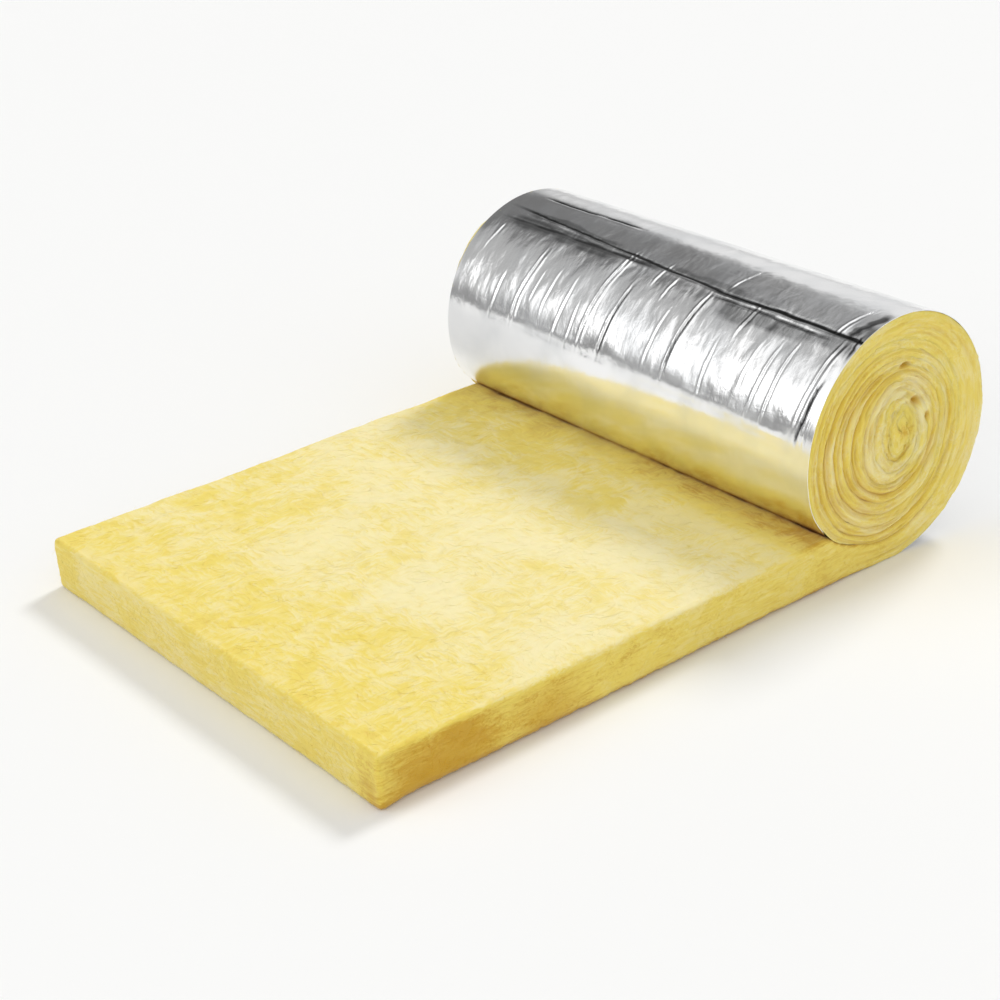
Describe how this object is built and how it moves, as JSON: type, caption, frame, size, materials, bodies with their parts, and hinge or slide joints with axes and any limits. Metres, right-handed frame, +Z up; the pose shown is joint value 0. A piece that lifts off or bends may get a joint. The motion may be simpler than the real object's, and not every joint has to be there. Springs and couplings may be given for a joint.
{
  "type": "insulation roll",
  "caption": "Part-unrolled blanket of yellow glass wool with a foil facing, lying flat in front and wound into a roll at the back.",
  "frame": {"origin": "on the floor under the middle of the whole object's box", "axes": "+X along the roll's axis, +Y from the cut end of the flat run towards the roll, +Z up"},
  "size_m": [0.6, 0.847, 0.286],
  "materials": {
    "glass_wool": "matte, fibrous",
    "aluminium_foil": "bright, creased"
  },
  "bodies": {
    "root": {"glass_wool_blanket": "glass_wool", "foil_facing": "aluminium_foil"}
  },
  "joints": []
}
